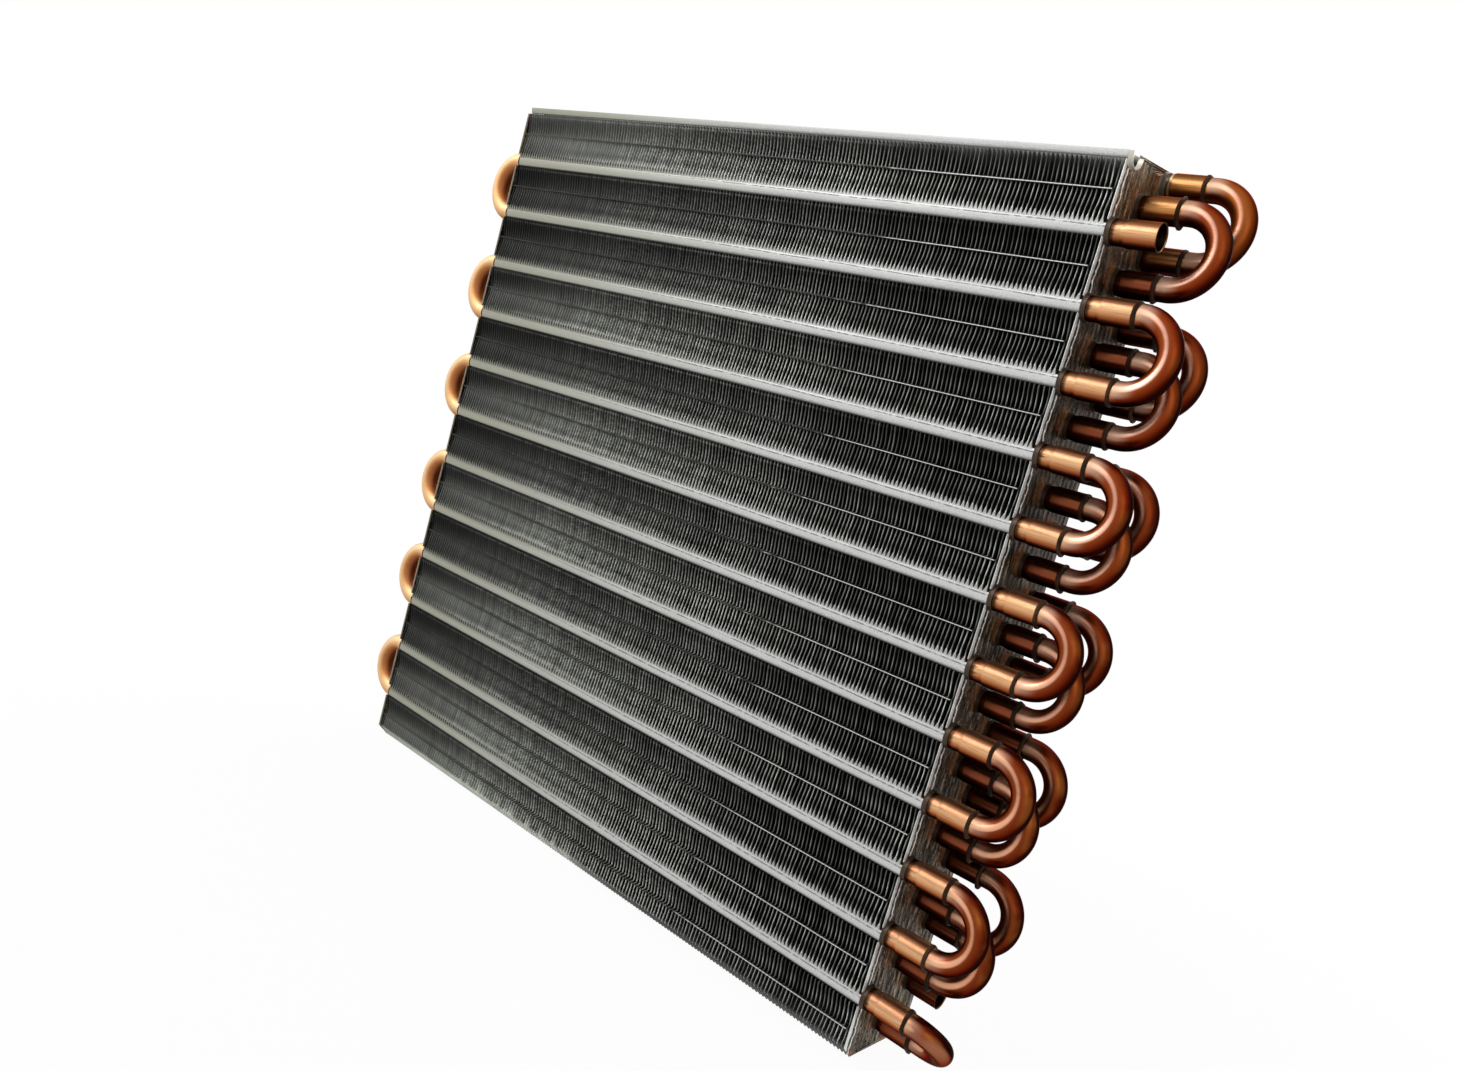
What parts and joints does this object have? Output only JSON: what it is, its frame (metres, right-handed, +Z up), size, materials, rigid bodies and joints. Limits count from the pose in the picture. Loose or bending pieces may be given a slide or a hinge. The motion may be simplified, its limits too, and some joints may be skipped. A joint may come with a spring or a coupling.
{
  "type": "air dryer heat exchanger coil",
  "caption": "Bare fin-and-tube coil: thin aluminium fins on a serpentine of copper hairpin tubes and brazed return bends, with two open belled ports.",
  "frame": {"origin": "middle of the fin stack's level base, half way along the fins and half way through their depth", "axes": "+X along the tubes towards the return bends, +Y along the air flow from the front face to the rear, +Z up"},
  "size_m": [0.301, 0.0383, 0.2786],
  "materials": {
    "fins": "bare rolled foil",
    "copper": "bare copper tube, slightly tarnished",
    "braze": "dull braze filler with burnt flux"
  },
  "bodies": {
    "root": {"braze_fillets_front": "braze", "braze_fillets_middle": "braze", "braze_fillets_rear": "braze", "fin_stack": "fins", "hairpin_crossover": "copper", "hairpin_front_1": "copper", "hairpin_front_2": "copper", "hairpin_front_3": "copper", "hairpin_front_4": "copper", "hairpin_front_5": "copper", "hairpin_front_6": "copper", "hairpin_middle_1": "copper", "hairpin_middle_2": "copper", "hairpin_middle_3": "copper", "hairpin_middle_4": "copper", "hairpin_middle_5": "copper", "hairpin_middle_6": "copper", "hairpin_rear_1": "copper", "hairpin_rear_2": "copper", "hairpin_rear_3": "copper", "hairpin_rear_4": "copper", "hairpin_rear_5": "copper", "hairpin_rear_6": "copper", "return_bend_crossover": "copper", "return_bend_front_1": "copper", "return_bend_front_2": "copper", "return_bend_front_3": "copper", "return_bend_front_4": "copper", "return_bend_front_5": "copper", "return_bend_middle_1": "copper", "return_bend_middle_2": "copper", "return_bend_middle_3": "copper", "return_bend_middle_4": "copper", "return_bend_middle_5": "copper", "return_bend_middle_6": "copper", "return_bend_rear_1": "copper", "return_bend_rear_2": "copper", "return_bend_rear_3": "copper", "return_bend_rear_4": "copper", "return_bend_rear_5": "copper", "return_bend_rear_6": "copper"}
  },
  "joints": []
}
